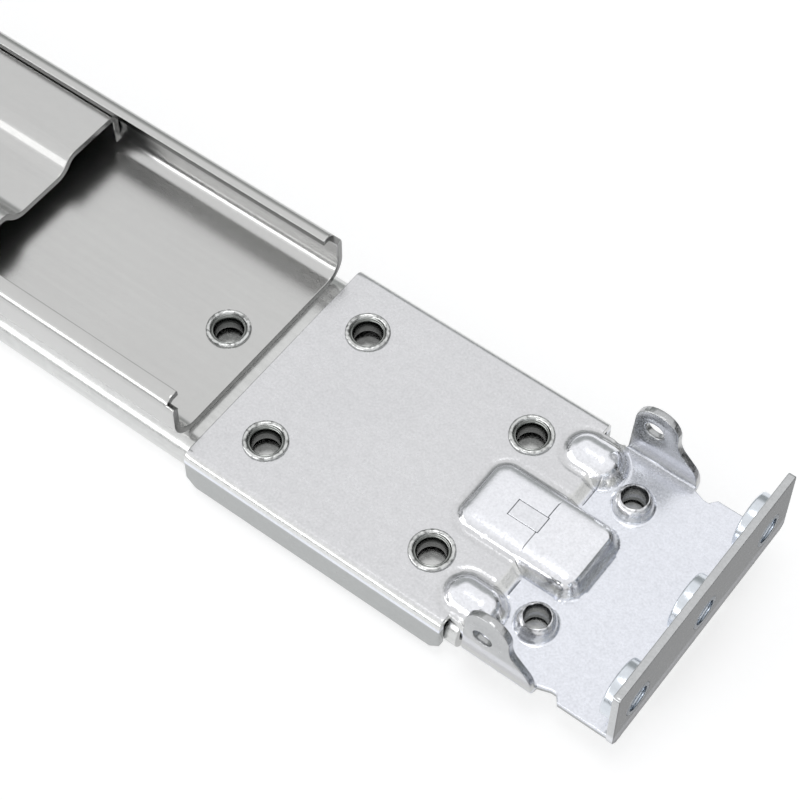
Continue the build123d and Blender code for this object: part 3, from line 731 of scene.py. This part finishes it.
skirt_edge = skirt_flat + 1.4 * mm * math.pi / 2 + 6.1 * mm
skirt_chamfer = 1.6 * mm
ear_top = ear_upright + 19.55 * mm
ear_front = behind(17.35)
neck_half = 18.65 * mm
flange_foot = flange_upright + 8.8 * mm
bracket_rear = bracket_low.x
half_blank = [
    (bracket_rear, skirt_edge - skirt_chamfer),
    (bracket_rear + skirt_chamfer, skirt_edge),
    (skirt_front - skirt_chamfer, skirt_edge),
    (skirt_front, skirt_edge - skirt_chamfer),
    (skirt_front, 18.5 * mm),
    (behind(25.7), 18.6 * mm),
    (behind(24.95), ear_flat + 0.3 * mm),
    (behind(24.35), ear_top),
    (ear_front, ear_top),
    (ear_front, ear_upright + 14.0 * mm),
    (behind(13.6), ear_upright + 10.4 * mm),
    (behind(13.3), ear_flat),
    (behind(11.4), neck_half),
    (behind(10.6), neck_half),
    (behind(9.7), front_plate_half),
    (flange_flat, front_plate_half),
    (flange_foot, front_plate_half),
    (flange_foot, 20.0 * mm),
    (flange_upright + 10.0 * mm, flange_half),
    (flange_upright + 22.4 * mm, flange_half),
]
blank = half_blank + [(along, -across) for along, across in reversed(half_blank)]
last = len(blank) - 1
ear_rounds = [(5, 0.5 * mm), (7, 3.4 * mm), (8, 3.3 * mm), (9, 1.4 * mm), (10, 1.2 * mm),
              (19, 0.5 * mm)]
rounds = ear_rounds + [(last - index, radius) for index, radius in ear_rounds]
ring_pitch = (29.6 * mm, 23.8 * mm)
ring_centre = behind(51.25)
bracket_rings = [(ring_centre + end * ring_pitch[0] / 2, side * ring_pitch[1] / 2)
                 for end in (-1, 1) for side in (-1, 1)]
collar_places = [(behind(18.75), side * 11.8 * mm) for side in (-1, 1)]
rack_holes = [(flange_upright + rack_row_z, row * rack_pitch) for row in (-1, 0, 1)]
ear_holes = [(ear_hole[0], side * (ear_upright + ear_hole[1])) for side in (-1, 1)]
ring_hole_r = 2.6 * mm
holes = [(place, ring_hole_r, 0) for place in bracket_rings]
holes += [(place, 2.2 * mm, 0) for place in collar_places]
holes += [(place, rack_hole_r, 0) for place in rack_holes]
holes += [(place, ear_hole_r, 0.2 * mm) for place in ear_holes]
form_grid = 0.35 * mm
form_rear = behind(39.5)
form_front = behind(15.0)
grid_count = int((form_front - form_rear) / form_grid)
across_lines = [form_rear + form_grid * step for step in range(grid_count)]
across_lines += [flange_flat + line for line in bend_lines(flange_runs[:1], 6)]
along_lines = [form_grid * step for step in range(1, int(ear_flat / form_grid))]
along_lines += bend_lines(skirt_runs[:1], 6) + bend_lines(ear_runs[:1], 4)
along_lines += [ear_upright + 11.2 * mm + form_grid * step for step in range(24)]
for offset in (-mark_half, 0, mark_half):
    across_lines += [witness_rear + offset, witness_front + offset, crease_x + offset,
                     rack_face + joggle_foot + offset]
    along_lines.append(witness_half + offset)
bm = folded_sheet(blank, rounds, holes, across_lines, along_lines, fold_bracket, 0.15)
dark = bm.verts.layers.float["dark"]
burnished = bm.verts.layers.float.new("burnished")
scored_dark = 0.9
press_mark_dark = 0.07
witness_dark = 0.06
ear_painted_shade = 0.26
# Each form with how much it is burnished, and how far in from its foot.
burnished_forms = ((emboss, 1.0, 1.0 * mm), (domes[0], 0.45, 3.0 * mm), (domes[1], 0.45, 3.0 * mm))
for vert in bm.verts:
    x, y, z = vert.co
    if form_rear < x < form_front and abs(y) < ear_flat:
        shares = [scored(start, end, x, y) * scored_dark for start, end, depth in marks]
        shares += [press_mark(inside_form(form, x, y)) * press_mark_dark
                   for form in (emboss, *domes)]
        if witness_rear < x < witness_front and abs(y) < witness_half:
            shares.append(witness_dark)
        vert[dark] = max(shares)
        for form, polish, reach in burnished_forms:
            inwards = inside_form(form, x, y)
            wall = soft_step(inwards / (0.3 * mm) + 1) * (1 - soft_step(inwards / reach - 1))
            vert[burnished] = max(vert[burnished], wall * polish)
    # The upright ears are painted darker: painted shade.
    if ear_rear < x < ear_foot and abs(y) > ear_flat:
        vert[dark] = max(vert[dark], ear_painted_shade)
collar_profile = [(3.6, -0.02), (3.2, 0.04), (3.02, 0.25), (2.95, 0.6), (2.88, 1.0), (2.78, 1.4),
                  (2.62, 1.8), (2.42, 2.08), (2.22, 2.24), (2.1, 2.34), (2.0, 2.34), (1.93, 2.2),
                  (1.84, 1.8), (1.8, 1.0), (1.77, -1.2), (2.4, -1.22)]
collar_bore_r = 1.86 * mm
for place in collar_places:
    drawn = turned_part(bm, [(radius * mm, height * mm) for radius, height in collar_profile],
                        Vector((*place, front_plate_top)), Vector((0, 0, 1)))
    # The bore of each collar is painted darker: painted shade inside the hole.
    roughen(bm, drawn, front_plate_top + 2.15 * mm, 0.07 * mm, front_plate_top - 0.5 * mm, 0.6)
    for vert in drawn:
        if math.hypot(vert.co.x - place[0], vert.co.y - place[1]) < collar_bore_r:
            vert[dark] = max(vert[dark], 0.45)
place_pair(bm, "front_bracket_sheet", "fixed_rails", "bracket_steel", nodes=["front_bracket"])

# Outer slide member
# Cold-rolled steel strip, roll-formed: a flat web whose edges curl round the outer balls. Its
# six collars are drawn up through the bracket and the channel and flared over them.
outer_low, outer_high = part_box("left_outer_member")
race_r = 3.7 * mm
web_back = 8.4 * mm
outer_runs = [(19.5 * mm - race_r, race_r, -math.radians(165))]
outer_half = outer_runs[0][0] + race_r * math.radians(165)


def fold_outer(along, across):
    """Curls the edges of the strip down round the balls."""
    return along_fold(along, across, web_back, outer_runs)


channel_rings = [(behind(82.75), 0), (behind(522.75), 0)]
strip = [(outer_low.x, outer_half), (outer_low.x, -outer_half), (outer_high.x, -outer_half),
         (outer_high.x, outer_half)]
web_holes = [(place, 2.15 * mm, 0) for place in bracket_rings + channel_rings]
bm = folded_sheet(strip, [], web_holes, [], bend_lines(outer_runs, 24), fold_outer, 0.3)
flare_profile = [(3.36, 0.0), (3.4, 0.12), (3.34, 0.34), (3.16, 0.48), (2.94, 0.5), (2.78, 0.4),
                 (2.66, 0.22), (2.6, 0.04), (2.5, -0.04), (2.36, 0.0), (2.24, -0.12),
                 (2.14, -0.42), (2.1, -0.9), (2.08, -2.45), (2.3, -2.5)]
for place in bracket_rings + channel_rings:
    flared = turned_part(bm, [(radius * mm, height * mm) for radius, height in flare_profile],
                         Vector((*place, plate_top)), Vector((0, 0, 1)), steps=96)
    # The bore of each flared collar gets painted shade.
    roughen(bm, flared, plate_top + 0.3 * mm, 0.05 * mm, plate_top - 0.3 * mm, 0.75)
place_pair(bm, "outer_slide_strip", "fixed_rails", "slide_steel", nodes=["outer_member"])

# Support channel
# Galvanised sheet, roll-formed into a channel whose lips keep the rear extension in. At its
# front end the lips are trimmed a little short of the walls.
channel_low, channel_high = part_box("left_support_channel")
channel_half = 19.3 * mm - sheet
floor_bend = 2.7 * mm
lip_bend = 0.7 * mm
wall_height = 6.7 * mm
channel_runs = [(channel_half - floor_bend, floor_bend, math.pi / 2),
                (wall_height - floor_bend - lip_bend, lip_bend, math.pi / 2),
                (0.8 * mm, 1, 0)]
channel_flat = (channel_half - floor_bend + wall_height - floor_bend - lip_bend + 0.8 * mm
                + (floor_bend + lip_bend) * math.pi / 2)
lip_trim = 1.3 * mm
lip_start = channel_flat - 1.5 * mm


def fold_channel(along, across):
    """Folds the walls up and their lips in."""
    return along_fold(along, across, plate_top, channel_runs)


half_strip = [(channel_low.x, channel_flat), (channel_high.x - lip_trim, channel_flat),
              (channel_high.x - lip_trim, lip_start), (channel_high.x, lip_start)]
strip = half_strip + [(along, -across) for along, across in reversed(half_strip)]
bm = folded_sheet(strip, [], [(place, ring_hole_r, 0) for place in channel_rings], [],
                  bend_lines(channel_runs[:2], 8), fold_channel, 0.6)
place_pair(bm, "channel_sheet", "fixed_rails", "galvanised_steel", nodes=["support_channel"])

# Rear extension
# A galvanised hat section that slides in the channel. The pressed recess along its middle has
# a long slot for the adjustment screws.
extension_low, extension_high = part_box("left_rear_extension")
extension_half = (extension_high.y - extension_low.y) / 2
recess_angle = math.atan2(2.3, 2.2)
recess_bend = 2.7 * mm
recess_tangent = recess_bend * math.tan(recess_angle / 2)
side_bend = 1.6 * mm
slope_length = math.hypot(2.3 * mm, 2.2 * mm) - 2 * recess_tangent
extension_runs = [(4.8 * mm - recess_tangent, recess_bend, recess_angle),
                  (slope_length, recess_bend, -recess_angle),
                  (extension_half - side_bend - 7.0 * mm - recess_tangent, side_bend, -math.pi / 2),
                  (4.5 * mm, 1, 0)]
extension_flat = sum(length + radius * abs(turn) for length, radius, turn in extension_runs)
recess_top = extension_high.z - 2.3 * mm


def fold_extension(along, across):
    """Presses the recess along the middle and folds the sides down."""
    return along_fold(along, across, recess_top, extension_runs)


strip = [(extension_low.x, extension_flat), (extension_low.x, -extension_flat),
         (extension_high.x, -extension_flat), (extension_high.x, extension_flat)]
slot_rear = extension_low.x + 81.05 * mm
slot_front = extension_high.x - 236.8 * mm
slot_r = 2.3 * mm
slot = (((slot_rear + slot_front) / 2, 0), slot_r, slot_front - slot_rear - 2 * slot_r)
bm = folded_sheet(strip, [], [slot], [], bend_lines(extension_runs[:3], 8), fold_extension,
                  0.4)
place_pair(bm, "extension_sheet", "extension", "galvanised_steel", nodes=["rear_extension"])

# Rear bracket
# A folded plate that is welded between the sides of the extension: two tabs stand up along its
# front part, and its rear end is folded up into the rear rack flange.
rear_low, rear_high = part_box("left_rear_bracket")
rear_top = 9.8 * mm
rear_bend = 0.7 * mm
rear_flat = rear_low.x + sheet + rear_bend
rear_upright = rear_flat - rear_bend * math.pi / 2
rear_runs = [(0, rear_bend, math.pi / 2), (14 * mm, 1, 0)]
tab_bend = 0.3 * mm
tab_flat = 16.65 * mm - sheet - tab_bend
tab_runs = [(tab_flat, tab_bend, math.pi / 2), (8 * mm, 1, 0)]
tab_edge = tab_flat + tab_bend * math.pi / 2 + 4.1 * mm
tab_rear = rear_high.x - 56.0 * mm


def fold_rear_bracket(along, across):
    """Folds the flange up at the rear end and the tabs up at the sides."""
    if along < rear_flat:
        reach, z, heading = bent(rear_flat - along, (0, rear_top), 0, rear_runs)
        return (Vector((rear_flat - reach, across, z)),
                Vector((math.sin(heading), 0, math.cos(heading))))
    if along > tab_rear - slack and abs(across) > tab_flat:
        return along_fold(along, across, rear_top, tab_runs)
    return Vector((along, across, rear_top)), Vector((0, 0, 1))


rear_flange_end = rear_upright - (rear_high.z - rear_top - rear_bend)
half_blank = [
    (rear_high.x, tab_edge), (tab_rear, tab_edge), (tab_rear, tab_flat),
    (tab_rear - 1.5 * mm, 19.7 * mm), (rear_flat + 0.2 * mm, 19.7 * mm),
    (rear_flat - 0.2 * mm, flange_half), (rear_flange_end, flange_half),
]
blank = half_blank + [(along, -across) for along, across in reversed(half_blank)]
last = len(blank) - 1
tab_rounds = [(0, 1.5 * mm), (1, 1.5 * mm), (2, 0.6 * mm), (3, 1.0 * mm), (6, 0.8 * mm)]
rounds = tab_rounds + [(last - index, radius) for index, radius in tab_rounds]
rear_rack_holes = [(rear_upright - (rack_row_z - rear_top - rear_bend), row * rack_pitch)
                   for row in (-1, 0, 1)]
bm = folded_sheet(blank, rounds, [(place, rack_hole_r, 0) for place in rear_rack_holes],
                  [rear_flat - line for line in bend_lines(rear_runs[:1], 6)],
                  bend_lines(tab_runs[:1], 4), fold_rear_bracket, 0.15)
place_pair(bm, "rear_bracket_sheet", "extension", "bracket_steel", nodes=["rear_bracket"])

# Adjustment screws
# Two flat-headed screws with a six-lobed socket, cold-headed from steel and zinc-coated. They
# pass through the slot of the extension into the channel's nuts and hold the rack's depth.
screws_low, screws_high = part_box("left_adjustment_screws")
screw_head_r = (screws_high.y - screws_low.y) / 2 / mm
screw_top = screws_high.z / mm
screw_head_profile = [
    (0.0, screw_top - 1.2), (1.05, screw_top - 1.2), (1.2, screw_top - 1.1), (1.2, screw_top - 0.1),
    (1.32, screw_top), (3.5, screw_top - 0.02), (3.8, screw_top - 0.14), (3.96, screw_top - 0.4),
    (screw_head_r, screw_top - 0.7), (screw_head_r, screw_top - 1.7), (3.9, screw_top - 1.8),
    (1.95, screw_top - 1.8), (1.95, screws_low.z / mm + 0.3), (1.7, screws_low.z / mm),
    (0.0, screws_low.z / mm),
]
lobes = 6
lobe_depth = 0.12
bm = bmesh.new()
for place in (screws_low.x + screw_head_r * mm, screws_high.x - screw_head_r * mm):
    turned = turned_part(bm, [(radius * mm, height * mm) for radius, height in screw_head_profile],
                         Vector((place, 0, 0)), Vector((0, 0, 1)))
    for vert in turned:
        away = Vector((vert.co.x - place, vert.co.y))
        if 0.5 * mm < away.length < 1.25 * mm and vert.co.z > (screw_top - 1.3) * mm:
            away *= 1 + lobe_depth * math.cos(lobes * math.atan2(away.y, away.x))
            vert.co.x = place + away.x
            vert.co.y = away.y
place_pair(bm, "adjustment_screws_turned", "fixed_rails", "screw_steel", nodes=["adjustment_screws"])

# Rack nuts
# Round steel nuts with an M5 thread and a blue zinc coat. A nut's shank sits in the hole of
# the flange, flush with the rack face, and its head lies on the inside.
nut_profile = [(2.0, 0.05), (2.1, 0.0), (2.55, 0.0), (2.6, 0.05), (2.6, 1.2), (4.1, 1.22),
               (4.32, 1.36), (4.38, 1.55), (4.38, 3.0), (4.3, 3.2), (4.05, 3.32), (2.85, 3.34),
               (2.5, 3.1)]
thread_pitch = 0.8
thread_crest_r = 2.14
thread_root_r = 2.45
turns = 4
for turn_number in range(turns, 0, -1):
    nut_profile += [(thread_crest_r, thread_pitch * (turn_number - 0.25)),
                    (thread_root_r, thread_pitch * (turn_number - 0.75))]
for place, inward, body, node in ((rack_face, -1, "fixed_rails", "front_nuts"),
                                  (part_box("left_rear_bracket")[0].x, 1, "extension", "rear_nuts")):
    bm = bmesh.new()
    for row in (-1, 0, 1):
        turned_part(bm, [(radius * mm, height * mm) for radius, height in nut_profile],
                    Vector((place, row * rack_pitch, rack_row_z)), Vector((inward, 0, 0)))
    place_pair(bm, f"{node}_turned", body, "nut_steel", nodes=[node])

# Balls
# Hardened and polished steel balls, in two rows in each cage. They roll in the races between
# two members and are kept apart by the windows of the cage that they ride with.
ball_r = 3.175 / 2 * mm
ball_box_reach = 0.863 * ball_r
balls_per_row = 6
for kind in ("outer", "inner"):
    low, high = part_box(f"left_{kind}_balls")
    first = low.x + ball_box_reach
    step = (high.x - low.x - 2 * ball_box_reach) / (balls_per_row - 1)
    ball_y = (high.y - low.y) / 2 - ball_box_reach
    bm = bmesh.new()
    for side in (-1, 1):
        for number in range(balls_per_row):
            place = Vector((first + step * number, side * ball_y, (low.z + high.z) / 2))
            bmesh.ops.create_uvsphere(bm, u_segments=28, v_segments=18, radius=ball_r,
                                      matrix=Matrix.Translation(place))
    place_pair(bm, f"{kind}_ball_set", f"{kind}_cage", "ball_steel", nodes=[f"{kind}_balls"])
